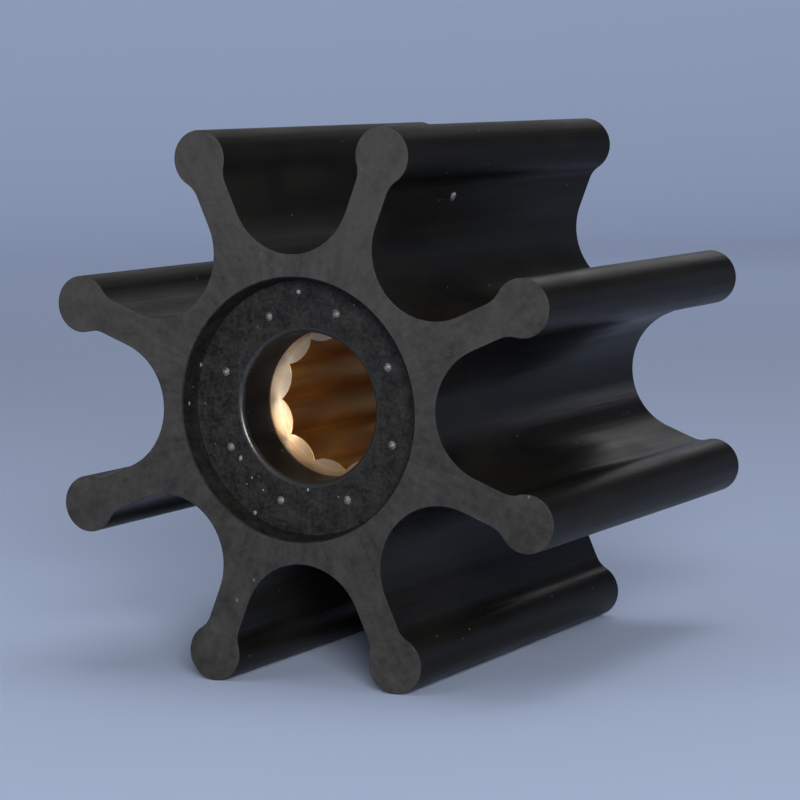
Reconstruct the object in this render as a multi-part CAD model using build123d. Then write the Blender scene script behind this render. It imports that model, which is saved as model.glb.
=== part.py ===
from build123d import *
from math import cos, sin, sqrt, tan, radians
import os

# Flexible vane impeller of a raw water pump: a moulded rubber body round a
# splined brass bush.  Millimetres.  The shaft axis runs along Y through the
# origin, the origin is at mid length, -Y is the front end face and +Z is up.
# At rest the body stands on the beads of its two lowest vanes.

# Rubber body
body_length = 52.5
outside_diameter = 65.0  # over the beads of two opposite vanes
hub_diameter = 33.6  # to the bottoms of the pockets between the vanes
vane_count = 8
vane_thickness = 3.9  # between the pocket and the bead
bead_diameter = 6.3  # round bead that seals along each vane's tip
bead_blend_radius = 2.9  # hollow curve from the vane's flank to its bead

# Recess in each end face
recess_diameter = 28.6  # at the end face
recess_depth = 2.6
recess_draft = 9.0  # degrees, how far the wall leans in towards the floor

# Plain bore from the recess floor down to the bush, with a bevelled mouth
bore_diameter = 16.4
mouth_bevel = 0.4

# Moulding pips in a ring on each recess floor
pip_count = 8
pip_ring_diameter = 21.8
pip_angle = 2.3  # degrees on from the vane that each pip belongs to
pip_diameter = 0.9
pip_height = 0.3

# Brass bush moulded into the hub
bush_diameter = 23.0
bush_inset = 8.4  # from the body's end face to the bush's end face
bush_chamfer = 0.5
keying_groove_count = 2  # rings round the outside that lock it in the rubber
keying_groove_width = 6.0
keying_groove_depth = 0.8
counterbore_depth = 2.25  # plain length at each end of the bush

# Splined bore of the bush
spline_count = 12
spline_root_diameter = 15.6  # across the sharp bottoms of the grooves
spline_tooth_height = 0.92

# Values that follow from the sizes above
pitch_angle = 360 / vane_count
first_vane_angle = pitch_angle / 2
half_vane = vane_thickness / 2
bead_radius = bead_diameter / 2
bead_circle_radius = outside_diameter / 2 - bead_radius
recess_floor_radius = recess_diameter / 2 - recess_depth * tan(radians(recess_draft))
front_y = -body_length / 2
bush_front_y = front_y + bush_inset
bush_length = body_length - 2 * bush_inset


def pocket_section():
    """Space between two vanes, opening along +X: a round bottom that touches
    the hub circle and runs out tangent into both vane flanks."""
    lean = radians(pitch_angle / 2)
    centre = (hub_diameter / 2 - half_vane) / (1 - sin(lean))
    radius = centre * sin(lean) - half_vane
    touch_x = centre - radius * sin(lean)
    touch_y = radius * cos(lean)
    far_x = touch_x + outside_diameter * cos(lean)
    far_y = touch_y + outside_diameter * sin(lean)
    mouth = Polygon(
        (touch_x, -touch_y), (far_x, -far_y), (far_x, far_y), (touch_x, touch_y), align=None
    )
    return Pos(centre, 0) * Circle(radius) + mouth


def bead_section():
    """Bead on the tip of the vane along +X, with the hollow blends that lead
    into it from both flanks."""
    span = bead_radius + bead_blend_radius
    rise = half_vane + bead_blend_radius
    start_x = bead_circle_radius - sqrt(span**2 - rise**2)
    join_x = bead_circle_radius - bead_radius * (bead_circle_radius - start_x) / span
    join_y = bead_radius * rise / span
    upper = TangentArc((start_x, half_vane), (join_x, join_y), tangent=(1, 0))
    lower = TangentArc((start_x, -half_vane), (join_x, -join_y), tangent=(1, 0))
    back = Line((start_x, -half_vane), (start_x, half_vane))
    front = Line((join_x, join_y), (join_x, -join_y))
    blend = make_face(Curve() + [upper, front, lower, back])
    return blend + Pos(bead_circle_radius, 0) * Circle(bead_radius)


def vane_section():
    """Cross section of the whole rubber body without its bore."""
    vanes = PolarLocations(0, vane_count, first_vane_angle)
    pockets = PolarLocations(0, vane_count, 0)
    wheel = Circle(bead_circle_radius) - pockets * pocket_section()
    return wheel + vanes * bead_section()


def end_cavity():
    """Front recess, the bore's bevelled mouth and the bore down to the bush."""
    floor_y = front_y + recess_depth
    bore_radius = bore_diameter / 2
    outline = Polyline(
        (0, front_y),
        (recess_diameter / 2, front_y),
        (recess_floor_radius, floor_y),
        (bore_radius + mouth_bevel, floor_y),
        (bore_radius, floor_y + mouth_bevel),
        (bore_radius, bush_front_y),
        (0, bush_front_y),
        close=True,
    )
    return revolve(make_face(outline), Axis.Y)


def pip_ring():
    """Moulding pips: short round studs that stand on the front recess floor."""
    floor = Plane.XZ.offset(-front_y - recess_depth)
    ring = PolarLocations(pip_ring_diameter / 2, pip_count, first_vane_angle + pip_angle)
    return [floor * place * Cylinder(pip_diameter / 2, 2 * pip_height) for place in ring]


def bush_blank():
    """Outside of the bush as a solid plug, with its ring grooves."""
    upright = Rot(90, 0, 0)
    blank = upright * Cylinder(bush_diameter / 2, bush_length)
    blank = chamfer(blank.edges().filter_by(GeomType.CIRCLE), bush_chamfer)
    ring = Cylinder(bush_diameter, keying_groove_width)
    ring -= Cylinder(bush_diameter / 2 - keying_groove_depth, keying_groove_width)
    spacing = bush_length / (keying_groove_count + 1)
    for index in range(keying_groove_count):
        ring_y = (index + 1) * spacing - bush_length / 2
        blank -= Pos(0, ring_y, 0) * upright * ring
    return blank


def spline_section():
    """Outline of the splined bore: rounded teeth that meet in sharp grooves."""
    root = spline_root_diameter / 2
    crest = root - spline_tooth_height
    step = 360 / spline_count
    teeth = []
    for index in range(spline_count):
        start, middle, end = [radians((index + part) * step) for part in (0, 0.5, 1)]
        teeth.append(
            ThreePointArc(
                (root * cos(start), root * sin(start)),
                (crest * cos(middle), crest * sin(middle)),
                (root * cos(end), root * sin(end)),
            )
        )
    return make_face(Curve() + teeth)


def rubber_vane_body():
    """The whole rubber moulding, one piece with its eight vanes."""
    body = extrude(Plane.XZ * vane_section(), body_length / 2, both=True)
    cavity = end_cavity()
    body -= [cavity, mirror(cavity, Plane.XZ), bush_blank()]
    pips = pip_ring()
    return body + pips + [mirror(pip, Plane.XZ) for pip in pips]


def splined_bush():
    """Brass bush with plain counterbored ends and the splined bore between."""
    upright = Rot(90, 0, 0)
    plain = upright * Cylinder(bore_diameter / 2, counterbore_depth)
    plain_y = (bush_length - counterbore_depth) / 2
    spline = extrude(Plane.XZ * spline_section(), bush_length / 2, both=True)
    return bush_blank() - [spline, Pos(0, plain_y, 0) * plain, Pos(0, -plain_y, 0) * plain]


os.makedirs("parts", exist_ok=True)
export_step(rubber_vane_body(), "parts/rubber_vane_body.step")
export_step(splined_bush(), "parts/splined_bush.step")
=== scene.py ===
from math import atan2, cos, hypot, pi, radians, sin, sqrt, tau

import bmesh
import bpy
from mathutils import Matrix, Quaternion, Vector
from mathutils.noise import noise as noise_at
from mathutils.geometry import tessellate_polygon


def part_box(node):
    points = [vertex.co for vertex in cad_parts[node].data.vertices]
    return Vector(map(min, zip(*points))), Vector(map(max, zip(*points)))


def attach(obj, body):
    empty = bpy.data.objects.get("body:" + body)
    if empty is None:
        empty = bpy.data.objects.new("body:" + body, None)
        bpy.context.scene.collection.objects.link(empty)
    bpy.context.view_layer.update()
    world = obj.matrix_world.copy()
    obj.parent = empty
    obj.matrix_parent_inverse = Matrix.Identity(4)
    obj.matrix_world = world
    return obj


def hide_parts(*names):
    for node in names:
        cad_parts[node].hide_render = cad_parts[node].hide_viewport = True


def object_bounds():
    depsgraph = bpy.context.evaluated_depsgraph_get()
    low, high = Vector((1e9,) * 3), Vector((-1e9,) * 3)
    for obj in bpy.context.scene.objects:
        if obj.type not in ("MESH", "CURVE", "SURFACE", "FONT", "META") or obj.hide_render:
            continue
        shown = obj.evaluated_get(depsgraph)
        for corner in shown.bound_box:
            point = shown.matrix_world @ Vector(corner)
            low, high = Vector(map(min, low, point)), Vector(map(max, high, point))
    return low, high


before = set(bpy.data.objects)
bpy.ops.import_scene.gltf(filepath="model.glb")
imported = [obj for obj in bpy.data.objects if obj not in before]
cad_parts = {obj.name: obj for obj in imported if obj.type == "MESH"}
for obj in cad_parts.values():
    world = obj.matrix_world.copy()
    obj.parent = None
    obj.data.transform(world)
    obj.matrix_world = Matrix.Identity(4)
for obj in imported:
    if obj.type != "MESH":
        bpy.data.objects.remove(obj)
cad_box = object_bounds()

bl_info = {
    "name": "Pump Impeller",
    "version": (1, 0, 0),
    "blender": (4, 5, 0),
    "location": "3D View > Sidebar > Impeller",
    "description": "Flexible vane pump impeller: moulded rubber body on a splined brass bush",
    "category": "Add Mesh",
}

# Everything is in metres.  The shaft axis runs along Y through the origin, the
# front end face looks along -Y, and the impeller stands on two of its vanes.

MM = 0.001
VANES = 8
TEETH = 12

# Points along each curve
TURN = 192  # round each circle, a whole number to every tooth
BEAD_STEPS = 56
BLEND_STEPS = 12
POCKET_STEPS = 42
EDGE_STEPS = 4
CORNER_STEPS = 6
PIP_TURN = 20
BODY_STEPS = 6  # along the vanes, from end to end

body_low, body_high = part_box("rubber_vane_body")
bush_low, bush_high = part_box("splined_bush")


def length(name, description, default):
    return bpy.props.FloatProperty(
        name=name, description=description, default=default, min=0.0,
        subtype="DISTANCE", unit="LENGTH", precision=5,
    )


def shade(name, description, default):
    return bpy.props.FloatVectorProperty(
        name=name, description=description, default=default, size=3, min=0.0, max=1.0,
        subtype="COLOR",
    )


def amount(name, description, default, high=1.0):
    return bpy.props.FloatProperty(
        name=name, description=description, default=default, min=0.0, max=high,
        subtype="FACTOR",
    )


def power(name, description, default):
    return bpy.props.FloatProperty(
        name=name, description=description, default=default, min=0.0, subtype="POWER",
        unit="POWER", precision=3,
    )


def angle(name, description, default):
    return bpy.props.FloatProperty(
        name=name, description=description, default=default, subtype="ANGLE", unit="ROTATION",
    )


class RubberSizes(bpy.types.PropertyGroup):
    """Sizes of the rubber moulding"""

    body_length: length("Body length", "Length along the shaft", body_high[1] - body_low[1])
    height: length(
        "Standing height", "From the lowest beads to the top ones", body_high[2] - body_low[2],
    )
    hub_diameter: length("Hub", "Across the bottoms of opposite pockets", 33.6 * MM)
    vane_thickness: length("Vane thickness", "Between the pocket and the bead", 3.9 * MM)
    bead_diameter: length("Bead", "Round bead along each vane's tip", 6.3 * MM)
    bead_blend: length("Bead blend", "Hollow radius from flank to bead", 2.9 * MM)
    recess_diameter: length("Recess", "Round recess, across its rim", 28.6 * MM)
    recess_depth: length("Recess depth", "From the end face to the recess floor", 2.6 * MM)
    recess_draft: angle("Recess draft", "Lean of the recess wall", radians(9))
    bore_diameter: length("Bore", "Plain bore from the recess to the bush", 16.4 * MM)
    face_edge: length("Ground edge", "Rounding where the sides meet the end faces", 0.12 * MM)
    rim_edge: length("Recess rim", "Rounding of the recess rim", 0.16 * MM)
    floor_corner: length("Floor corner", "Hollow radius round the recess floor", 0.06 * MM)
    mouth_edge: length("Bore mouth", "Rounding where the bore leaves the floor", 0.55 * MM)
    pip_circle: length("Pip circle", "Ring on which the pips stand", 21.8 * MM)
    pip_diameter: length("Pip", "Moulding pip, across its foot", 0.9 * MM)
    pip_height: length("Pip height", "Moulding pip, from floor to crown", 0.3 * MM)
    pip_turn: angle("Pip turn", "From the middle of a vane round to its pip", radians(2.3))


class BushSizes(bpy.types.PropertyGroup):
    """Sizes of the brass bush"""

    bush_length: length("Bush length", "Length along the shaft", bush_high[1] - bush_low[1])
    bush_diameter: length(
        "Bush diameter", "Outside, where the rubber grips", bush_high[0] - bush_low[0],
    )
    outer_chamfer: length("Outer chamfer", "At both ends of the outside", 0.5 * MM)
    groove_width: length("Keying groove", "Width of each ring groove", 6.0 * MM)
    groove_depth: length("Groove depth", "Depth of each ring groove", 0.8 * MM)
    counterbore_depth: length("Counterbore depth", "Plain length at each end", 2.25 * MM)
    spline_diameter: length("Spline root", "Across the bottoms of the grooves", 15.6 * MM)
    tooth_height: length("Tooth height", "From groove bottom to tooth crest", 0.92 * MM)
    tooth_edge: length("Tooth edge", "Broken edge at the ends of the teeth", 0.05 * MM)
    broken_edge: length("Broken edge", "Small chamfer on every machined edge", 0.12 * MM)


class RubberFinish(bpy.types.PropertyGroup):
    """Colours of the rubber"""

    ground_dark: shade("Ground, dark", "Dark patches of the end faces", (0.0190, 0.0187, 0.0183))
    ground_pale: shade("Ground, pale", "Pale patches of the end faces", (0.0460, 0.0452, 0.0442))
    moulded_dark: shade("Moulded, dark", "Dark patches of the sides", (0.0057, 0.0053, 0.0046))
    moulded_pale: shade("Moulded, pale", "Pale patches of the sides", (0.0112, 0.0104, 0.0088))
    recess_dark: shade("Recess, dark", "Dark patches of the recess", (0.0065, 0.0064, 0.0063))
    recess_pale: shade("Recess, pale", "Pale patches of the recess", (0.0260, 0.0256, 0.0250))
    # Painted highlight: colour of a pale streak along the right pocket
    streak_highlight_pale: shade("Painted streak", "Pale mark along the right pocket", (0.070, 0.070, 0.071))
    # Painted highlight: the pale tops of the pips
    pip_highlight_pale: shade("Pip, pale", "Tops of the pips, painted pale as a highlight", (0.13, 0.13, 0.13))
    dust: shade("Dust", "Dust and grinding crumbs", (0.21, 0.21, 0.215))


class BrassFinish(bpy.types.PropertyGroup):
    """Colours of the brass"""

    turned_pale: shade("Turned, pale", "Bright turned ends", (0.77, 0.69, 0.565))
    turned_deep: shade("Turned, deep", "Deeper tone of the turned ends", (0.70, 0.545, 0.385))
    # Painted shade: brown, low in the counterbores
    low_shade_brown: shade("Low shade", "Brown shade painted low in the counterbores", (0.36, 0.225, 0.11))
    rim_darker: shade("Rim band", "Darker band where rubber meets brass", (0.10, 0.045, 0.015))
    broached_pale: shade("Broached, pale", "Pale streaks of the spline", (0.66, 0.335, 0.080))
    broached_deep: shade("Broached, deep", "Brown film in the spline", (0.50, 0.24, 0.056))


class StageSettings(bpy.types.PropertyGroup):
    """Floor, lamps and camera"""

    floor_colour: shade("Floor", "Pale card of the floor", (0.44, 0.53, 0.74))
    upper_colour: shade("Backdrop", "Card of the backdrop above the floor", (0.37, 0.40, 0.46))
    glow_colour: shade("Glow", "Glow that lifts the far backdrop", (0.46, 0.56, 0.83))
    glow_strength: amount("Glow strength", "How far the far backdrop is lifted", 0.42)
    sky_colour: shade("Sky", "Soft light from all round", (0.97, 0.98, 1.0))
    sky_strength: amount("Sky strength", "Strength of the light from all round", 0.19, 4.0)
    key_power: power("Key lamp", "Big soft lamp in front, on the right", 1.25)
    strip_power: power("Strip lamp", "Wide lamp above and behind", 0.36)
    fill_power: power("Fill lamp", "Weak lamp in front, on the left", 0.14)
    top_power: power("Top lamp", "Lamp overhead", 0.28)
    lens: bpy.props.FloatProperty(
        name="Lens", description="Focal length, in millimetres", default=132.863, min=10.0,
    )
    sensor: bpy.props.FloatProperty(
        name="Sensor", description="Width of the sensor, in millimetres", default=36.0, min=1.0,
    )
    camera_place: bpy.props.FloatVectorProperty(
        name="Camera place", description="Where the camera stands", size=3,
        default=(0.157647, -0.300338, 0.032183), subtype="XYZ", unit="LENGTH", precision=6,
    )
    camera_turn: bpy.props.FloatVectorProperty(
        name="Camera turn", description="Which way the camera looks", size=3,
        default=(1.47187, 0.02554, 0.48389), subtype="EULER", unit="ROTATION",
    )


# Surfaces


class Skin:
    """One closed surface, with the way that each face's corners look."""

    def __init__(self, name, finishes):
        self.name = name
        self.finishes = finishes
        self.points = []
        self.faces = []
        self.looks = []
        self.kinds = []

    def ring(self, points):
        first = len(self.points)
        self.points.extend(Vector(point) for point in points)
        return list(range(first, len(self.points)))

    def face(self, corners, looks, finish):
        """Adds a face, turned so that its outside is where its corners look."""
        corners = list(corners)
        looks = [Vector(look) for look in looks]
        spots = [self.points[corner] for corner in corners]
        across = (spots[1] - spots[0]).cross(spots[2] - spots[0])
        if len(spots) == 4:
            across += (spots[2] - spots[0]).cross(spots[3] - spots[0])
        if across.dot(sum(looks, Vector())) < 0:
            corners.reverse()
            looks.reverse()
        self.faces.append(corners)
        self.looks.extend(looks)
        self.kinds.append(list(self.finishes).index(finish))

    def band(self, first, second, first_looks, second_looks, finish):
        """Joins two rings.  Looks are one pair to each step round the ring."""
        count = len(first)
        for step in range(count):
            after = (step + 1) % count
            corners = (first[step], first[after], second[after], second[step])
            self.face(corners, (*first_looks[step], *reversed(second_looks[step])), finish)

    def fill(self, rings, look, finish):
        """Fills between an outer ring and the holes in it, all across the shaft."""
        corners = [corner for ring in rings for corner in ring]
        outlines = [[(self.points[c].x, self.points[c].z, 0.0) for c in ring] for ring in rings]
        for triangle in tessellate_polygon(outlines):
            self.face([corners[index] for index in triangle], [look] * 3, finish)

    def crown(self, ring, looks, point, look, finish):
        """Closes a ring with one point above its middle."""
        top = self.ring([point])[0]
        for step, low in enumerate(ring):
            self.face((low, ring[(step + 1) % len(ring)], top), (*looks[step], look), finish)

    def make(self):
        mesh = bpy.data.meshes.new(self.name)
        mesh.from_pydata(self.points, [], self.faces)
        for finish in self.finishes.values():
            mesh.materials.append(finish)
        mesh.polygons.foreach_set("material_index", self.kinds)
        mesh.polygons.foreach_set("use_smooth", [True] * len(self.faces))
        mesh.normals_split_custom_set([look.normalized() for look in self.looks])
        mesh.update()
        return put(self.name, mesh)


def put(name, data):
    piece = bpy.data.objects.new(name, data)
    bpy.context.scene.collection.objects.link(piece)
    return piece


def pairs(looks):
    """Looks that run smoothly on from each point of a ring to the next."""
    return [(look, looks[(step + 1) % len(looks)]) for step, look in enumerate(looks)]


def angles(count):
    """Equal steps once round."""
    return [tau * step / count for step in range(count)]


def circle(radius, y):
    return [(radius * cos(a), y, radius * sin(a)) for a in angles(TURN)]


def circle_looks(outward, along):
    """Looks of a turned surface: so much away from the shaft, so much along Y."""
    return pairs([(outward * cos(a), along, outward * sin(a)) for a in angles(TURN)])


def smooth_turn(skin, ring, spots, finish):
    """Turned surface with flowing looks, through spots of (radius, y, outward, along)."""
    for before, after in zip(spots, spots[1:]):
        new_ring = skin.ring(circle(*after[:2]))
        skin.band(ring, new_ring, circle_looks(*before[2:]), circle_looks(*after[2:]), finish)
        ring = new_ring
    return ring


def crisp_turn(skin, ring, spots, side, finish, last=None):
    """Turned surface with sharp steps, through spots of (radius, y).  The last
    spot may use a ring that is there already."""
    for before, after in zip(spots, spots[1:]):
        wide, deep = after[0] - before[0], after[1] - before[1]
        looks = circle_looks(-side * deep / hypot(wide, deep), side * wide / hypot(wide, deep))
        closing = last is not None and after is spots[-1]
        new_ring = last if closing else skin.ring(circle(*after))
        skin.band(ring, new_ring, looks, looks, finish)
        ring = new_ring
    return ring


def arc(x, z, radius, start, end, steps, sign=1):
    """Points of an arc and the way each looks: sign 1 out from its centre, -1 in to it."""
    for step in range(steps):
        turn = start + (end - start) * step / steps
        side_x, side_z = cos(turn), sin(turn)
        yield (x + radius * side_x, z + radius * side_z, sign * side_x, sign * side_z)


def turned_by(spot, turn):
    """A spot of (x, z, look x, look z), turned about the shaft."""
    x, z, look_x, look_z = spot
    c, s = cos(turn), sin(turn)
    return (x * c - z * s, x * s + z * c, look_x * c - look_z * s, look_x * s + look_z * c)


def vane_outline(sizes):
    """Outline of the end face, once round all the vanes and pockets."""
    lean = pi / VANES
    half_vane = sizes.vane_thickness / 2
    bead = sizes.bead_diameter / 2
    blend = sizes.bead_blend
    rise = half_vane + blend
    bead_x = (sizes.height / 2 - bead) / cos(lean)
    blend_x = bead_x - sqrt((bead + blend) ** 2 - rise ** 2)
    meet = atan2(rise, bead_x - blend_x)
    pocket_x = (sizes.hub_diameter / 2 - half_vane) / (1 - sin(lean))
    pocket = pocket_x * sin(lean) - half_vane
    flank_x = pocket_x * cos(lean)
    middle_x = (flank_x + blend_x) / 2
    outline = []
    for vane in range(VANES):
        along = lean + vane * tau / VANES
        tip = [(flank_x, -half_vane, 0, -1), (middle_x, -half_vane, 0, -1)]
        tip += arc(blend_x, -rise, blend, pi / 2, meet, BLEND_STEPS, -1)
        tip += arc(bead_x, 0, bead, meet - pi, pi - meet, BEAD_STEPS)
        tip += arc(blend_x, rise, blend, -meet, -pi / 2, BLEND_STEPS, -1)
        tip += [(blend_x, half_vane, 0, 1), (middle_x, half_vane, 0, 1)]
        outline += [turned_by(spot, along) for spot in tip]
        bottom = arc(pocket_x, 0, pocket, -pi / 2 - lean, lean - 3 * pi / 2, POCKET_STEPS, -1)
        outline += [turned_by(spot, along + lean) for spot in bottom]
    return outline


def seat_path(bush, wide):
    """Outside of the bush from its front face to its back one, as (radius, y)."""
    half = bush.bush_length / 2
    grip = bush.bush_diameter / 2
    edge = bush.outer_chamfer
    low = grip - bush.groove_depth
    path = [(wide, -half), (grip - edge, -half), (grip, -half + edge)]
    for middle in (-bush.bush_length / 6, bush.bush_length / 6):
        near, far = middle - bush.groove_width / 2, middle + bush.groove_width / 2
        path += [(grip, near), (low, near), (low, far), (grip, far)]
    return path + [(grip, half - edge), (grip - edge, half), (wide, half)]


# Rubber body

# A pip's rings: two at its foot, as shares of its radius and height with how far each
# looks outward, and then on the ball of its crown, in degrees from the top
PIP_FOOT = ((1.25, 0.0, 0.0), (1.06, 0.10, 0.6))
PIP_CROWN = (56, 40, 20)


def ground_edge(skin, sizes, outline, end):
    """Rounded edge of one end face.  Returns its inner ring, and its outer ring with looks."""
    edge = sizes.face_edge
    half = sizes.body_length / 2
    rings = []
    for step in range(EDGE_STEPS + 1):
        turn = pi / 2 * step / EDGE_STEPS
        inset, deep = edge * (1 - sin(turn)), edge * (1 - cos(turn))
        y = end * (half - deep)
        out, along = sin(turn), end * cos(turn)
        ring = skin.ring([(x - inset * lx, y, z - inset * lz) for x, z, lx, lz in outline])
        looks = pairs([(lx * out, along, lz * out) for _, _, lx, lz in outline])
        finish = "ground" if step < EDGE_STEPS else "moulded"
        if rings:
            skin.band(rings[-1][0], ring, rings[-1][1], looks, finish)
        rings.append((ring, looks))
    return rings[0][0], rings[-1]


def pip(skin, sizes, turn, floor_y, end):
    """One moulding pip on the recess floor.  Returns the ring of its foot."""
    middle_x, middle_z = sizes.pip_circle / 2 * cos(turn), sizes.pip_circle / 2 * sin(turn)
    foot, high = sizes.pip_diameter / 2, sizes.pip_height
    ball = (foot ** 2 + high ** 2) / (2 * high)
    shape = [(foot * wide, high * tall, outward) for wide, tall, outward in PIP_FOOT]
    for lean in PIP_CROWN:
        out = sin(radians(lean))
        shape.append((ball * out, high - ball * (1 - cos(radians(lean))), out))
    around = angles(PIP_TURN)
    last = None
    for radius, tall, outward in shape:
        y = floor_y + end * tall
        ring = skin.ring([
            (middle_x + radius * cos(a), y, middle_z + radius * sin(a)) for a in around
        ])
        along = end * sqrt(1 - outward ** 2)
        looks = pairs([(outward * cos(a), along, outward * sin(a)) for a in around])
        if last is None:
            base = ring
        else:
            skin.band(last[0], ring, last[1], looks, "recess" if tall < high / 4 else "scuffed")
        last = (ring, looks)
    skin.crown(*last, (middle_x, floor_y + end * high, middle_z), (0, end, 0), "scuffed")
    return base


def recess(skin, sizes, bush, end):
    """One end's recess, its pips and the bore.  Returns the rim's ring and the bore's
    last ring."""
    half = sizes.body_length / 2
    draft = sizes.recess_draft
    rim, corner, mouth = sizes.rim_edge, sizes.floor_corner, sizes.mouth_edge
    bore = sizes.bore_diameter / 2

    def spot(radius, deep, turn):
        return (radius, end * (half - deep), -sin(turn), end * cos(turn))

    steps = [(pi / 2 - draft) * step / CORNER_STEPS for step in range(CORNER_STEPS + 1)]
    rim_x = sizes.recess_diameter / 2 + rim * (1 - sin(draft)) / cos(draft)
    spots = [spot(rim_x - rim * sin(t), rim * (1 - cos(t)), t) for t in steps]
    deep = sizes.recess_depth - corner
    corner_x = sizes.recess_diameter / 2 - (corner + deep * sin(draft)) / cos(draft)
    spots += [
        spot(corner_x + corner * sin(t), deep + corner * cos(t), t) for t in reversed(steps)
    ]
    rim_ring = skin.ring(circle(*spots[0][:2]))
    floor_ring = smooth_turn(skin, rim_ring, spots, "recess")

    floor_y = end * (half - sizes.recess_depth)
    first_pip = pi / VANES + sizes.pip_turn
    feet = [pip(skin, sizes, first_pip + turn, floor_y, end) for turn in angles(VANES)]
    mouth_ring = skin.ring(circle(bore + mouth, floor_y))
    skin.fill([floor_ring, mouth_ring, *feet], (0, end, 0), "recess")

    deep = sizes.recess_depth + mouth
    steps = [pi / 2 * step / CORNER_STEPS for step in range(CORNER_STEPS + 1)]
    spots = [spot(bore + mouth - mouth * sin(t), deep - mouth * cos(t), t) for t in steps]
    bore_ring = smooth_turn(skin, mouth_ring, spots, "polished")
    spots = [spots[-1], (bore, end * bush.bush_length / 2, -1, 0)]
    return rim_ring, smooth_turn(skin, bore_ring, spots, "moulded")


def build_rubber(sizes, bush, finishes):
    """The whole moulding with its vanes, recesses, pips, bore and the bush's seat."""
    skin = Skin("vane_body_finish", finishes)
    outline = vane_outline(sizes)
    ends = {}
    for end in (-1, 1):
        face_ring, side = ground_edge(skin, sizes, outline, end)
        rim_ring, bore_ring = recess(skin, sizes, bush, end)
        skin.fill([face_ring, rim_ring], (0, end, 0), "ground")
        ends[end] = (side, bore_ring)
    (ring, looks), front_bore = ends[-1]
    (last_ring, _), back_bore = ends[1]
    half = sizes.body_length / 2 - sizes.face_edge
    for step in range(1, BODY_STEPS):
        y = -half + 2 * half * step / BODY_STEPS
        new_ring = skin.ring([(x, y, z) for x, z, _, _ in outline])
        skin.band(ring, new_ring, looks, looks, "moulded")
        ring = new_ring
    skin.band(ring, last_ring, looks, looks, "moulded")
    seat = seat_path(bush, sizes.bore_diameter / 2)
    crisp_turn(skin, front_bore, seat, 1, "recess", back_bore)
    return skin.make()


# Crumbs on the floor of the front recess: x, z, width and length in millimetres
FLOOR_CRUMBS = (
    (-0.72, 12.62, 0.42, 0.50), (-8.64, -5.75, 0.48, 0.54), (-7.05, -11.75, 0.44, 0.50),
    (-0.25, -8.95, 0.26, 0.34), (-7.3, -7.9, 0.20, 0.26), (-5.9, -9.2, 0.18, 0.24),
    (-8.0, -8.6, 0.16, 0.16), (-6.4, -7.7, 0.14, 0.18), (3.5, -9.6, 0.16, 0.20),
)
# Crumbs on the recess wall and in a pocket: place, outward look, width, length and turn,
# in millimetres and degrees
SIDE_CRUMBS = (
    ((-13.15, -24.0, 4.5), (0.94, -0.16, -0.32), 0.34, 0.44, 0),
    ((-14.1, -25.15, 0.3), (0.99, -0.16, 0.0), 0.30, 0.40, 0),
    ((11.97, -11.23, 22.24), (0.70, 0.0, -0.72), 0.72, 1.8, 50),
)


def lumpy(spot, index):
    """A point of a unit ball, pushed in or out so that each crumb is its own lump."""
    size = 1 + 0.45 * noise_at(spot * 1.4 + Vector((index * 7.1, 0, 0)))
    size += 0.15 * noise_at(spot * 4.0 + Vector((0, index * 3.7, 0)))
    return spot * size


def build_crumbs(sizes, finish):
    """Small flattened lumps, each pressed onto the surface under it."""
    floor_y = (sizes.recess_depth - sizes.body_length / 2) / MM
    crumbs = [((x, floor_y, z), (0, -1, 0), wide, long, 0) for x, z, wide, long in FLOOR_CRUMBS]
    crumbs += SIDE_CRUMBS
    shell = bmesh.new()
    for index, (place, outward, wide, long, turn) in enumerate(crumbs):
        facing = Vector(outward).to_track_quat("Z", "X") @ Quaternion((0, 0, 1), radians(turn))
        for vert in bmesh.ops.create_icosphere(shell, subdivisions=3, radius=1.0)["verts"]:
            x, y, z = lumpy(vert.co, index)
            spot = Vector((long / 2 * x, wide / 2 * y, wide / 4 * z))
            vert.co = Vector(place) * MM + facing @ spot * MM
    mesh = bpy.data.meshes.new("grinding_crumbs")
    shell.to_mesh(mesh)
    shell.free()
    mesh.polygons.foreach_set("use_smooth", [True] * len(mesh.polygons))
    mesh.materials.append(finish)
    return put("grinding_crumbs", mesh)


# Brass bush


def spline_outline(bush, edge):
    """Splined bore as points, the same points let back by an edge, and looks."""
    root = bush.spline_diameter / 2
    crest = root - bush.tooth_height
    half_step = pi / TEETH
    root_x, root_z = root * cos(half_step), root * sin(half_step)
    middle = (root_x ** 2 + root_z ** 2 - crest ** 2) / (2 * (root_x - crest))
    radius = middle - crest
    swing = atan2(root_z, middle - root_x)
    steps = TURN // TEETH
    notch = edge / cos(swing + half_step)
    points, eased, looks = [], [], []
    for tooth in range(TEETH):
        along = (2 * tooth + 1) * half_step
        for step in range(steps):
            here, after = [swing * (2 * k / steps - 1) for k in (step, step + 1)]
            spot = (middle - radius * cos(here), radius * sin(here), -cos(here), sin(here))
            x, z, lx, lz = turned_by(spot, along)
            _, _, next_x, next_z = turned_by((0, 0, -cos(after), sin(after)), along)
            points.append((x, z))
            looks.append(((lx, 0, lz), (next_x, 0, next_z)))
            if step == 0:
                eased.append((x * (1 + notch / root), z * (1 + notch / root)))
            else:
                eased.append((x - edge * lx, z - edge * lz))
    return points, eased, looks


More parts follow.
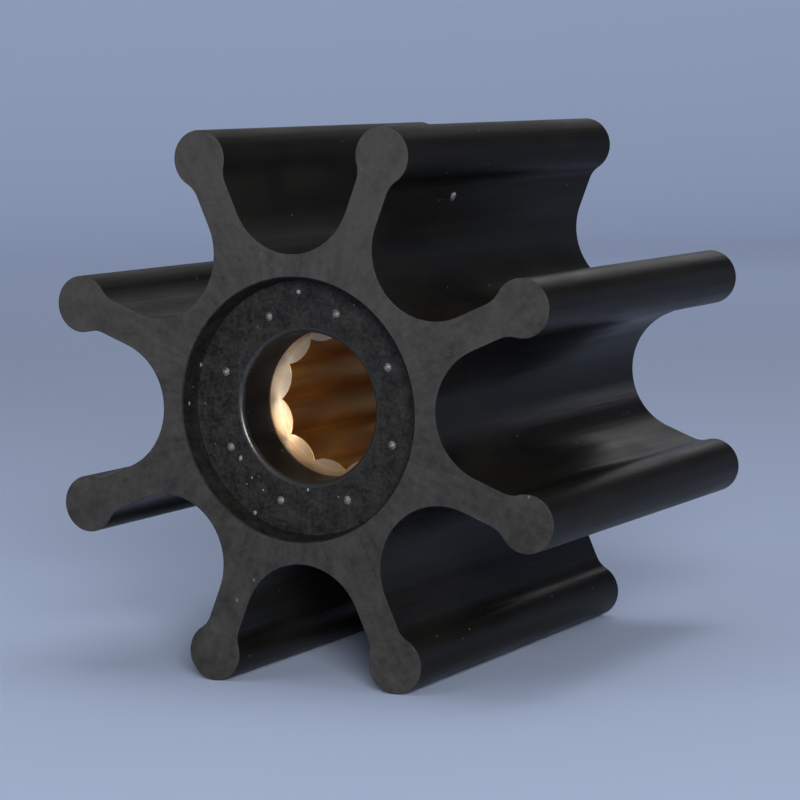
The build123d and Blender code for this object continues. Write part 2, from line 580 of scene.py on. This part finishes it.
def build_bush(sizes, bush, finishes):
    """The bush: turned outside, counterbored ends and the splined bore."""
    skin = Skin("splined_bush_finish", finishes)
    half = bush.bush_length / 2
    edge = bush.broken_edge
    bore = sizes.bore_diameter / 2
    fine_edge = bush.tooth_edge
    points, eased, looks = spline_outline(bush, fine_edge)
    outside, inside = {}, {}
    for end in (-1, 1):
        outside[end] = skin.ring(circle(bore + edge, end * half))
        step_y = end * (half - bush.counterbore_depth)
        path = [(bore + edge, end * half), (bore, end * (half - edge)), (bore, step_y)]
        ring = crisp_turn(skin, outside[end], path, -end, "turned")
        eased_ring = skin.ring([(x, step_y, z) for x, z in eased])
        face_looks = [((0, end, 0), (0, end, 0))] * TURN
        skin.band(ring, eased_ring, face_looks, face_looks, "turned")
        spline_ring = skin.ring([(x, step_y - end * fine_edge, z) for x, z in points])
        edge_looks = [tuple((lx, end, lz) for lx, _, lz in pair) for pair in looks]
        skin.band(eased_ring, spline_ring, edge_looks, edge_looks, "broached")
        inside[end] = spline_ring
    skin.band(inside[-1], inside[1], looks, looks, "broached")
    seat = seat_path(bush, bore + edge)
    crisp_turn(skin, outside[-1], seat, -1, "turned", outside[1])
    return skin.make()


# Finishes

# Places of marks on the rubber, in millimetres
FLECKS = ((-5.88, -18.76), (-8.12, -21.10), (27.52, -8.32))  # x and z on the front end face
# A pale streak painted along the right pocket stands in for a highlight there
HIGHLIGHT_STREAK_LINE = (17.24, -2.48)  # x and z of a line along the right pocket
HIGHLIGHT_STREAK_WIDTHS = (0.3, 1.5)  # from the line to where the mark starts to fade, and to its end
EDGE_WEAR = 0.35  # how far the grinding reaches round from an end face
WALL_FOOT = (13.82, 13.92)  # from the shaft to where the recess floor ends, and its wall starts
# Painted shade: beyond this range the lip's colour is darkened, so only its left side stays pale
# under the glint
LIP_SHINE_AND_SHADE = (-6.5, -2.5)  # x where the shine on the bore's lip starts to fade, and where it ends
RIM_DARK_BAND = (0.35, 0.2)  # from the bush's ends to where the dark band starts, and is full
LOW_SHADE = (-8.0, -4.2)  # z where the painted brown shade in the counterbores is full, and where it ends
DULL_WAY = (1.0, 0.0, -2.0)  # from where the sides of the vanes are dull to where they shine
DULL_RANGE = (-34, -6)  # along that way, where they are dullest and where they start to shine

# Streaks that run away from the shaft on the ground end faces
STREAK_CELLS = 22.0  # how fine they are round the shaft
STREAK_DRIFT = 8.0  # how fast they change on their way out


def node(tree, kind, inputs=None, **settings):
    """Adds a node.  Inputs are values, or outputs of other nodes to link."""
    made = tree.nodes.new(kind)
    for name, value in settings.items():
        setattr(made, name, value)
    for name, value in (inputs or {}).items():
        if isinstance(value, bpy.types.NodeSocket):
            tree.links.new(value, made.inputs[name])
        else:
            made.inputs[name].default_value = value
    return made


def finish_tree(name, base, **sockets):
    """A new material with its shader, and its place on the object in metres."""
    material = bpy.data.materials.new(name)
    material.diffuse_color = (*base, 1.0)
    material.use_nodes = True
    tree = material.node_tree
    shader = tree.nodes["Principled BSDF"]
    shader.inputs["Base Color"].default_value = (*base, 1.0)
    for socket, value in sockets.items():
        shader.inputs[socket.replace("_", " ")].default_value = value
    place = node(tree, "ShaderNodeTexCoord").outputs["Object"]
    return material, tree, shader, place


def stretched(tree, place, cells):
    """The place, drawn out: so many cells to a millimetre each way, or along each axis."""
    along = cells if isinstance(cells, tuple) else (cells, cells, cells)
    inputs = {"Vector": place, "Scale": [count / MM for count in along]}
    return node(tree, "ShaderNodeMapping", inputs).outputs["Vector"]


def noise(tree, place, cells, detail=3.0, roughness=0.5):
    """Noise with so many cells to a millimetre."""
    inputs = {
        "Vector": stretched(tree, place, cells), "Scale": 1.0, "Detail": detail,
        "Roughness": roughness,
    }
    return node(tree, "ShaderNodeTexNoise", inputs).outputs["Fac"]


def ramp(tree, factor, low, high, start, end):
    """A colour that goes from one to another along a factor's middle part."""
    made = node(tree, "ShaderNodeValToRGB", {"Fac": factor})
    stops = ((start, low), (end, high))
    for element, (at, colour) in zip(made.color_ramp.elements, stops):
        element.position = at
        element.color = (*colour, 1.0)
    return made.outputs["Color"]


def spread(tree, factor, low, high, start=0.3, end=0.7):
    """A factor's middle part, laid out between two values."""
    inputs = {"Value": factor, "From Min": start, "From Max": end, "To Min": low, "To Max": high}
    return node(tree, "ShaderNodeMapRange", inputs, clamp=True).outputs["Result"]


def painted(tree, factor, under, over):
    """A colour with a plain one laid over it where the factor is 1."""
    inputs = {0: factor, 6: under, 7: (*over, 1.0)}
    return node(tree, "ShaderNodeMix", inputs, data_type="RGBA").outputs[2]


def joined(tree, operation, first, *others):
    """Factors put together one after another."""
    for other in others:
        made = node(tree, "ShaderNodeMath", {0: first, 1: other}, operation=operation)
        first = made.outputs[0]
    return first


def weighted(tree, *parts):
    """Sum of factors, each times its share."""
    return joined(tree, "ADD", *(joined(tree, "MULTIPLY", *part) for part in parts))


def off_middle(tree, factor):
    """How far a coordinate is from 0, on either side."""
    return node(tree, "ShaderNodeMath", {0: factor}, operation="ABSOLUTE").outputs[0]


def measured(tree, operation, *vectors):
    """A number from vectors: a length, a distance or a dot product."""
    made = node(tree, "ShaderNodeVectorMath", dict(enumerate(vectors)), operation=operation)
    return made.outputs["Value"]


def along_axes(tree, place):
    """The place's x, y and z, and the place itself seen along the shaft, as (x, z)."""
    x, y, z = node(tree, "ShaderNodeSeparateXYZ", {"Vector": place}).outputs
    flat = node(tree, "ShaderNodeCombineXYZ", {"X": x, "Y": z}).outputs[0]
    return x, y, z, flat


def specks(tree, place, cells, size, share):
    """1 inside small scattered specks, 0 elsewhere."""
    inputs = {"Vector": stretched(tree, place, cells), "Scale": 1.0, "Randomness": 1.0}
    found = node(tree, "ShaderNodeTexVoronoi", inputs).outputs
    inside = joined(tree, "LESS_THAN", found["Distance"], size)
    pick = node(tree, "ShaderNodeSeparateColor", {"Color": found["Color"]}).outputs[0]
    return joined(tree, "MULTIPLY", inside, joined(tree, "LESS_THAN", pick, share))


def dusted(tree, place, colour, dust, strength, cells, size, share):
    """A colour with specks of dust scattered over it."""
    cover = joined(tree, "MULTIPLY", specks(tree, place, cells, size, share), strength)
    return painted(tree, cover, colour, dust)


def dressed(tree, shader, colour, roughness, *layers):
    """Gives the shader its colour, its roughness and its bump, which is in layers of
    (height, depth in millimetres), the coarsest first."""
    tree.links.new(colour, shader.inputs["Base Color"])
    tree.links.new(roughness, shader.inputs["Roughness"])
    normal = None
    for height, depth in layers:
        inputs = {"Height": height, "Strength": 1.0, "Distance": depth * MM}
        if normal is not None:
            inputs["Normal"] = normal
        normal = node(tree, "ShaderNodeBump", inputs).outputs["Normal"]
    tree.links.new(normal, shader.inputs["Normal"])


def radial_streaks(tree, flat, reach):
    """Noise drawn out along lines that run away from the shaft."""
    outward = node(tree, "ShaderNodeVectorMath", {0: flat}, operation="NORMALIZE").outputs[0]
    inputs = {
        "Vector": outward, "W": joined(tree, "MULTIPLY", reach, STREAK_DRIFT),
        "Scale": STREAK_CELLS, "Detail": 3.0,
    }
    return node(tree, "ShaderNodeTexNoise", inputs, noise_dimensions="4D").outputs["Fac"]


def ground_rubber(colours):
    """Dull rubber of the ground end faces: fine open grain, mottled, with dust in it,
    and with three pale flecks on the front one.  Painted light and shade make them paler
    at the beads and towards the top, and darker on the right."""
    material, tree, shader, place = finish_tree(
        "rubber_ground", colours.ground_pale, Roughness=0.8, Specular_IOR_Level=0.2,
    )
    patches = noise(tree, place, 0.30, detail=5.0, roughness=0.6)
    mottle = noise(tree, place, 1.3, detail=4.0, roughness=0.65)
    grain = noise(tree, place, 7.0, detail=3.0, roughness=0.7)
    lines = noise(tree, place, (0.35, 1.0, 5.0), detail=2.0)
    x, _, z, flat = along_axes(tree, place)
    reach = measured(tree, "LENGTH", flat)
    tone = joined(
        tree, "ADD",
        weighted(tree, (patches, 0.45), (grain, 0.2), (mottle, 0.35)),
        spread(tree, radial_streaks(tree, flat, reach), -0.06, 0.06),
        # Painted light and shade: the next three terms make the end faces paler at the beads and
        # towards the top, and darker on the right
        spread(tree, reach, -0.02, 0.02, 16 * MM, 27 * MM),  # paler out at the beads
        spread(tree, z, -0.04, 0.09, -20 * MM, 18 * MM),  # and towards the top
        spread(tree, x, 0.0, -0.06, 8 * MM, 28 * MM),  # and darker on the right
    )
    colour = ramp(tree, tone, colours.ground_dark, colours.ground_pale, 0.36, 0.64)
    colour = dusted(tree, place, colour, colours.dust, 0.2, 0.8, 0.09, 0.10)
    for fleck_x, fleck_z in FLECKS:
        away = measured(tree, "DISTANCE", place, (fleck_x * MM, body_low[1], fleck_z * MM))
        inside = spread(tree, away, 0.8, 0.0, 0.04 * MM, 0.26 * MM)
        broken = spread(tree, grain, 0.2, 1.0, 0.4, 0.6)
        colour = painted(tree, joined(tree, "MULTIPLY", inside, broken), colour, colours.dust)
    roughness = spread(tree, patches, 0.72, 0.88)
    dressed(
        tree, shader, colour, roughness,
        (patches, 0.05), (mottle, 0.03), (lines, 0.016), (grain, 0.02),
    )
    return material


def moulded_rubber(colours):
    """Satin skin of the vanes: nearly black, with flow marks along the shaft, worn at
    the end faces' edges, with a pale highlight streak painted along the right pocket,
    and duller to the top left."""
    material, tree, shader, place = finish_tree(
        "rubber_moulded", colours.moulded_pale, Roughness=0.34, Specular_IOR_Level=0.07,
    )
    streaks = noise(tree, place, (0.9, 0.02, 0.9), detail=4.0, roughness=0.6)
    fine = noise(tree, place, (3.5, 0.10, 3.5), detail=3.0, roughness=0.6)
    grain = noise(tree, place, 6.0, detail=2.0)
    smears = noise(tree, place, (0.22, 0.09, 0.22), detail=4.0, roughness=0.55)
    _, y, _, flat = along_axes(tree, place)
    colour = ramp(tree, smears, colours.moulded_dark, colours.moulded_pale, 0.35, 0.68)
    worn = joined(
        tree, "MULTIPLY",
        spread(tree, off_middle(tree, y), 0.0, 1.0, body_high[1] - EDGE_WEAR * MM, body_high[1]),
        spread(tree, fine, 0.1, 0.8),
    )
    colour = painted(tree, worn, colour, colours.ground_dark)
    # Painted highlight: a pale streak along the right pocket
    away = measured(tree, "DISTANCE", flat, (HIGHLIGHT_STREAK_LINE[0] * MM, HIGHLIGHT_STREAK_LINE[1] * MM, 0.0))
    painted_streak = joined(
        tree, "MULTIPLY",
        spread(tree, away, 1.0, 0.0, HIGHLIGHT_STREAK_WIDTHS[0] * MM, HIGHLIGHT_STREAK_WIDTHS[1] * MM),
        spread(tree, y, 0.1, 1.0, -14 * MM, 14 * MM),
        spread(tree, fine, 0.35, 0.9),
    )
    colour = painted(tree, painted_streak, colour, colours.streak_highlight_pale)
    colour = dusted(tree, place, colour, colours.dust, 0.5, 0.45, 0.06, 0.35)
    gloss = weighted(tree, (streaks, 0.5), (smears, 0.5))
    to_shine = measured(tree, "DOT_PRODUCT", place, DULL_WAY)
    roughness = joined(
        tree, "ADD",
        spread(tree, gloss, 0.27, 0.42, 0.35, 0.65),
        spread(tree, to_shine, 0.14, 0.0, DULL_RANGE[0] * MM, DULL_RANGE[1] * MM),
    )
    dressed(tree, shader, colour, roughness, (streaks, 0.05), (fine, 0.012), (grain, 0.004))
    return material


def recess_rubber(colours):
    """Moulded skin of the recess: mottled, a little dusty, and darkened on the wall by painted
    shade.
    """
    material, tree, shader, place = finish_tree(
        "rubber_recess", colours.recess_pale, Roughness=0.58, Specular_IOR_Level=0.15,
    )
    mottle = noise(tree, place, 0.55, detail=5.0, roughness=0.65)
    flecks = noise(tree, place, 2.2, detail=4.0, roughness=0.7)
    tone = weighted(tree, (mottle, 0.6), (flecks, 0.4))
    colour = ramp(tree, tone, colours.recess_dark, colours.recess_pale, 0.40, 0.63)
    reach = measured(tree, "LENGTH", along_axes(tree, place)[3])
    # Painted shade: the wall of the recess is darkened towards the dark moulded colour
    wall = spread(tree, reach, 0.0, 0.5, WALL_FOOT[0] * MM, WALL_FOOT[1] * MM)
    colour = painted(tree, wall, colour, colours.moulded_dark)
    colour = dusted(tree, place, colour, colours.dust, 0.45, 1.0, 0.09, 0.10)
    roughness = spread(tree, tone, 0.48, 0.68, 0.35, 0.65)
    dressed(tree, shader, colour, roughness, (mottle, 0.06), (flecks, 0.02))
    return material


def polished_rubber(colours):
    """Skin of the bore's lip, rubbed shiny on one side and dull on the rest; painted shade
    darkens all but the shiny side, which stays pale under the glint.
    """
    material, tree, shader, place = finish_tree(
        "rubber_polished", colours.recess_pale, Roughness=0.3, Specular_IOR_Level=0.55,
    )
    flecks = noise(tree, place, 0.8, detail=4.0, roughness=0.6)
    colour = ramp(tree, flecks, colours.moulded_pale, colours.recess_pale, 0.36, 0.66)
    x = along_axes(tree, place)[0]
    # Painted shade: the lip is darkened away from its left side, which stays pale under the glint
    dull = spread(tree, x, 0.0, 1.0, LIP_SHINE_AND_SHADE[0] * MM, LIP_SHINE_AND_SHADE[1] * MM)
    colour = painted(tree, dull, colour, colours.moulded_dark)
    roughness = joined(
        tree, "ADD", joined(tree, "MULTIPLY", dull, 0.4), spread(tree, flecks, 0.25, 0.33),
    )
    dressed(tree, shader, colour, roughness, (flecks, 0.012))
    return material


def pip_highlight_rubber(colours):
    """Pale skin on top of the pips: a painted highlight."""
    material, tree, shader, place = finish_tree(
        "rubber_scuffed", colours.pip_highlight_pale, Roughness=0.42, Specular_IOR_Level=0.6,
    )
    flecks = noise(tree, place, 1.8, detail=3.0, roughness=0.6)
    # Painted highlight: the pips' tops are pale
    colour = ramp(tree, flecks, colours.recess_pale, colours.pip_highlight_pale, 0.34, 0.62)
    roughness = spread(tree, flecks, 0.34, 0.5, 0.35, 0.65)
    dressed(tree, shader, colour, roughness, (flecks, 0.01))
    return material


def turned_brass(colours):
    """Bright turned brass: fine rings left by the tool, a little uneven in colour, with
    a darker band at the bush's ends, and brown painted shade low in the counterbores."""
    material, tree, shader, place = finish_tree(
        "brass_turned", colours.turned_pale, Metallic=0.85, Roughness=0.42,
    )
    _, y, z, flat = along_axes(tree, place)
    inputs = {"X": measured(tree, "LENGTH", flat), "Y": y}
    turned = node(tree, "ShaderNodeCombineXYZ", inputs).outputs[0]
    rings = noise(tree, turned, 5.0, detail=3.0, roughness=0.6)
    film = noise(tree, place, 0.35, detail=4.0)
    colour = ramp(tree, film, colours.turned_deep, colours.turned_pale, 0.35, 0.6)
    # A darker band at each end of the bush, where the rubber meets the brass
    start, full = [bush_high[1] - away * MM for away in RIM_DARK_BAND]
    rim_band = spread(tree, off_middle(tree, y), 0.0, 1.0, start, full)
    colour = painted(tree, rim_band, colour, colours.rim_darker)
    # Painted shade: darker and browner low in the counterbores
    painted_low_shade = spread(tree, z, 0.75, 0.0, LOW_SHADE[0] * MM, LOW_SHADE[1] * MM)
    colour = painted(tree, painted_low_shade, colour, colours.low_shade_brown)
    dressed(tree, shader, colour, spread(tree, rings, 0.34, 0.5), (rings, 0.05))
    return material


def broached_brass(colours):
    """Broached brass of the spline: drawn streaks along it, and a brown film."""
    material, tree, shader, place = finish_tree(
        "brass_broached", colours.broached_pale, Metallic=1.0, Roughness=0.5,
    )
    streaks = noise(tree, place, (2.6, 0.05, 2.6), detail=4.0, roughness=0.6)
    film = noise(tree, place, (0.25, 0.12, 0.25), detail=5.0, roughness=0.6)
    tone = weighted(tree, (film, 0.65), (streaks, 0.35))
    colour = ramp(tree, tone, colours.broached_deep, colours.broached_pale, 0.36, 0.64)
    roughness = spread(tree, tone, 0.42, 0.56, 0.35, 0.65)
    dressed(tree, shader, colour, roughness, (film, 0.04), (streaks, 0.02))
    return material


def crumb_rubber(colours):
    """Pale crumbs that the grinding left behind."""
    material, tree, shader, place = finish_tree("rubber_crumb", colours.dust, Roughness=0.75)
    grain = noise(tree, place, 6.0, detail=3.0)
    shaded = tuple(0.6 * part for part in colours.dust)
    colour = ramp(tree, grain, shaded, colours.dust, 0.35, 0.6)
    dressed(tree, shader, colour, spread(tree, grain, 0.6, 0.85), (grain, 0.02))
    return material


# Ranges on the floor and backdrop, in metres
CARD_RANGE = (0.0, 0.2)  # heights between which the floor's colour gives way to the backdrop's
GLOW_REACH = (0.05, 1.3)  # from the object to where the glow starts, and to where it is full
GLOW_FADE = (0.12, 0.45)  # heights where the glow starts to fade, and where it ends


def floor_card(stage):
    """Pale matte card of the floor and backdrop, with a soft tooth.  A glow that only
    the camera, mirrors and glass see lifts the far part, and fades with height."""
    material, tree, shader, place = finish_tree(
        "studio_card", stage.floor_colour, Roughness=0.9, Specular_IOR_Level=0.2,
    )
    tooth = noise(tree, place, 0.02, detail=3.0)
    shaded = tuple(part * 0.985 for part in stage.floor_colour)
    card = ramp(tree, tooth, shaded, stage.floor_colour, 0.3, 0.7)
    tall = along_axes(tree, place)[2]
    card = painted(tree, spread(tree, tall, 0.0, 1.0, *CARD_RANGE), card, stage.upper_colour)
    tree.links.new(card, shader.inputs["Base Color"])
    path = node(tree, "ShaderNodeLightPath").outputs
    rays = [path["Is %s Ray" % kind] for kind in ("Camera", "Glossy", "Transmission")]
    seen = joined(tree, "MINIMUM", joined(tree, "ADD", *rays), 1.0)
    far = measured(tree, "LENGTH", place)
    glow = joined(
        tree, "MULTIPLY", seen,
        spread(tree, far, 0.0, stage.glow_strength, *GLOW_REACH),
        spread(tree, tall, 1.0, 0.0, *GLOW_FADE),
    )
    shader.inputs["Emission Color"].default_value = (*stage.glow_colour, 1.0)
    tree.links.new(glow, shader.inputs["Emission Strength"])
    return material


# Stage

FLOOR_TURN = 96  # points round the floor
CURVE_STEPS = 12
FLOOR_RINGS = (0.45, 0.9)  # radii of the flat floor's rings, in metres
FLOOR_CURVE = 0.6  # radius of the curve from the floor up to the wall
WALL_TOPS = (1.0, 1.5)  # heights of the wall's rings

# Each lamp's name, width, height, place in metres, colour, and spread in degrees
LAMPS = (
    ("key", 0.28, 0.28, (0.39, -0.61, 0.21), (1.0, 0.98, 0.95), 80),
    ("strip", 0.5, 0.2, (-0.21, 0.72, 0.34), (1.0, 1.0, 1.0), 180),
    ("fill", 0.2, 0.2, (-0.16, -0.22, 0.26), (1.0, 1.0, 1.0), 180),
    ("top", 0.5, 0.5, (0.12, 0.08, 0.85), (1.0, 1.0, 1.0), 60),
)


def floor_profile():
    """Rings of the floor and backdrop as (radius, height), from the middle outwards."""
    flat_edge = FLOOR_RINGS[-1]
    curve = [pi / 2 * step / CURVE_STEPS for step in range(1, CURVE_STEPS + 1)]
    rings = [(radius, 0.0) for radius in FLOOR_RINGS]
    rings += [(flat_edge + FLOOR_CURVE * sin(a), FLOOR_CURVE * (1 - cos(a))) for a in curve]
    return rings + [(flat_edge + FLOOR_CURVE, top) for top in WALL_TOPS]


def build_floor(stage, floor_z):
    """Round floor that curves up all round into a backdrop."""
    points = [(0.0, 0.0, floor_z)]
    faces = []
    for ring, (radius, tall) in enumerate(floor_profile()):
        points += [(radius * cos(a), radius * sin(a), floor_z + tall) for a in angles(FLOOR_TURN)]
        for k in range(FLOOR_TURN):
            here = 1 + ring * FLOOR_TURN + k
            after = 1 + ring * FLOOR_TURN + (k + 1) % FLOOR_TURN
            if ring == 0:
                faces.append((0, here, after))
            else:
                faces.append((here - FLOOR_TURN, here, after, after - FLOOR_TURN))
    mesh = bpy.data.meshes.new("studio_floor")
    mesh.from_pydata(points, [], faces)
    mesh.polygons.foreach_set("use_smooth", [True] * len(faces))
    mesh.materials.append(floor_card(stage))
    return put("studio_floor", mesh)


def soft_lamp(name, watts, wide, tall, place, colour, cone):
    """A soft rectangular lamp that faces the object, and lights inside a cone."""
    lamp = bpy.data.lights.new(name, "AREA")
    lamp.shape = "RECTANGLE"
    lamp.size = wide
    lamp.size_y = tall
    lamp.energy = watts
    lamp.spread = radians(cone)
    lamp.color = colour
    holder = put(name, lamp)
    holder.location = place
    holder.rotation_euler = (-Vector(place)).to_track_quat("-Z", "Y").to_euler()


def build_sky(stage):
    """Plain light from all round."""
    world = bpy.data.worlds.new("studio_sky")
    world.use_nodes = True
    sky = world.node_tree.nodes["Background"]
    sky.inputs["Color"].default_value = (*stage.sky_colour, 1.0)
    sky.inputs["Strength"].default_value = stage.sky_strength
    bpy.context.scene.world = world


def build_camera(stage):
    """Camera in front of the impeller, a little to its right and above it."""
    camera = bpy.data.cameras.new("camera")
    camera.lens = stage.lens
    camera.sensor_width = stage.sensor
    camera.clip_start = 10 * MM
    holder = put("camera", camera)
    holder.location = stage.camera_place
    holder.rotation_euler = stage.camera_turn
    return holder


# Operators


class IMPELLER_OT_vane_body(bpy.types.Operator):
    """Build the rubber moulding with its vanes, recesses and pips"""

    bl_idname = "impeller.vane_body"
    bl_label = "Vane Body"

    def execute(self, context):
        scene = context.scene
        colours = scene.impeller_rubber_finish
        finishes = {
            "ground": ground_rubber(colours),
            "moulded": moulded_rubber(colours),
            "recess": recess_rubber(colours),
            "polished": polished_rubber(colours),
            "scuffed": pip_highlight_rubber(colours),
        }
        piece = build_rubber(scene.impeller_rubber, scene.impeller_bush, finishes)
        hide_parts("rubber_vane_body")
        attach(piece, "root")
        return {"FINISHED"}


class IMPELLER_OT_splined_bush(bpy.types.Operator):
    """Build the brass bush with its counterbores and splined bore"""

    bl_idname = "impeller.splined_bush"
    bl_label = "Splined Bush"

    def execute(self, context):
        scene = context.scene
        colours = scene.impeller_brass_finish
        finishes = {"turned": turned_brass(colours), "broached": broached_brass(colours)}
        piece = build_bush(scene.impeller_rubber, scene.impeller_bush, finishes)
        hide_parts("splined_bush")
        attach(piece, "root")
        return {"FINISHED"}


class IMPELLER_OT_crumbs(bpy.types.Operator):
    """Scatter the few crumbs left in the front recess and in one pocket"""

    bl_idname = "impeller.crumbs"
    bl_label = "Crumbs"

    def execute(self, context):
        finish = crumb_rubber(context.scene.impeller_rubber_finish)
        piece = build_crumbs(context.scene.impeller_rubber, finish)
        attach(piece, "root")
        return {"FINISHED"}


class IMPELLER_OT_stage(bpy.types.Operator):
    """Build the pale floor, the soft lamps and the camera"""

    bl_idname = "impeller.stage"
    bl_label = "Stage"

    def execute(self, context):
        scene = context.scene
        stage = scene.impeller_stage
        build_floor(stage, cad_box[0][2])
        build_sky(stage)
        for name, wide, tall, place, colour, cone in LAMPS:
            soft_lamp(
                name + "_lamp", getattr(stage, name + "_power"), wide, tall, place, colour, cone,
            )
        scene.camera = build_camera(stage)
        scene.view_settings.view_transform = "Standard"
        return {"FINISHED"}


class IMPELLER_PT_sidebar(bpy.types.Panel):
    """Sizes, colours and steps of the impeller"""

    bl_label = "Pump Impeller"
    bl_idname = "IMPELLER_PT_sidebar"
    bl_space_type = "VIEW_3D"
    bl_region_type = "UI"
    bl_category = "Impeller"

    def draw(self, context):
        layout = self.layout
        for group in GROUPS:
            box = layout.box()
            settings = getattr(context.scene, group)
            for name in settings.bl_rna.properties.keys():
                if name not in ("rna_type", "name"):
                    box.prop(settings, name)
        for step in STEPS:
            layout.operator(step.bl_idname)


GROUPS = {
    "impeller_rubber": RubberSizes,
    "impeller_bush": BushSizes,
    "impeller_rubber_finish": RubberFinish,
    "impeller_brass_finish": BrassFinish,
    "impeller_stage": StageSettings,
}
STEPS = (
    IMPELLER_OT_vane_body, IMPELLER_OT_splined_bush, IMPELLER_OT_crumbs, IMPELLER_OT_stage,
)


def register():
    for group, kind in GROUPS.items():
        bpy.utils.register_class(kind)
        setattr(bpy.types.Scene, group, bpy.props.PointerProperty(type=kind))
    for step in STEPS:
        bpy.utils.register_class(step)
    bpy.utils.register_class(IMPELLER_PT_sidebar)


def unregister():
    bpy.utils.unregister_class(IMPELLER_PT_sidebar)
    for step in reversed(STEPS):
        bpy.utils.unregister_class(step)
    for group, kind in GROUPS.items():
        delattr(bpy.types.Scene, group)
        bpy.utils.unregister_class(kind)


def main():
    register()
    bpy.ops.impeller.vane_body()
    bpy.ops.impeller.splined_bush()
    bpy.ops.impeller.crumbs()
    bpy.ops.impeller.stage()


if __name__ == "__main__":
    main()
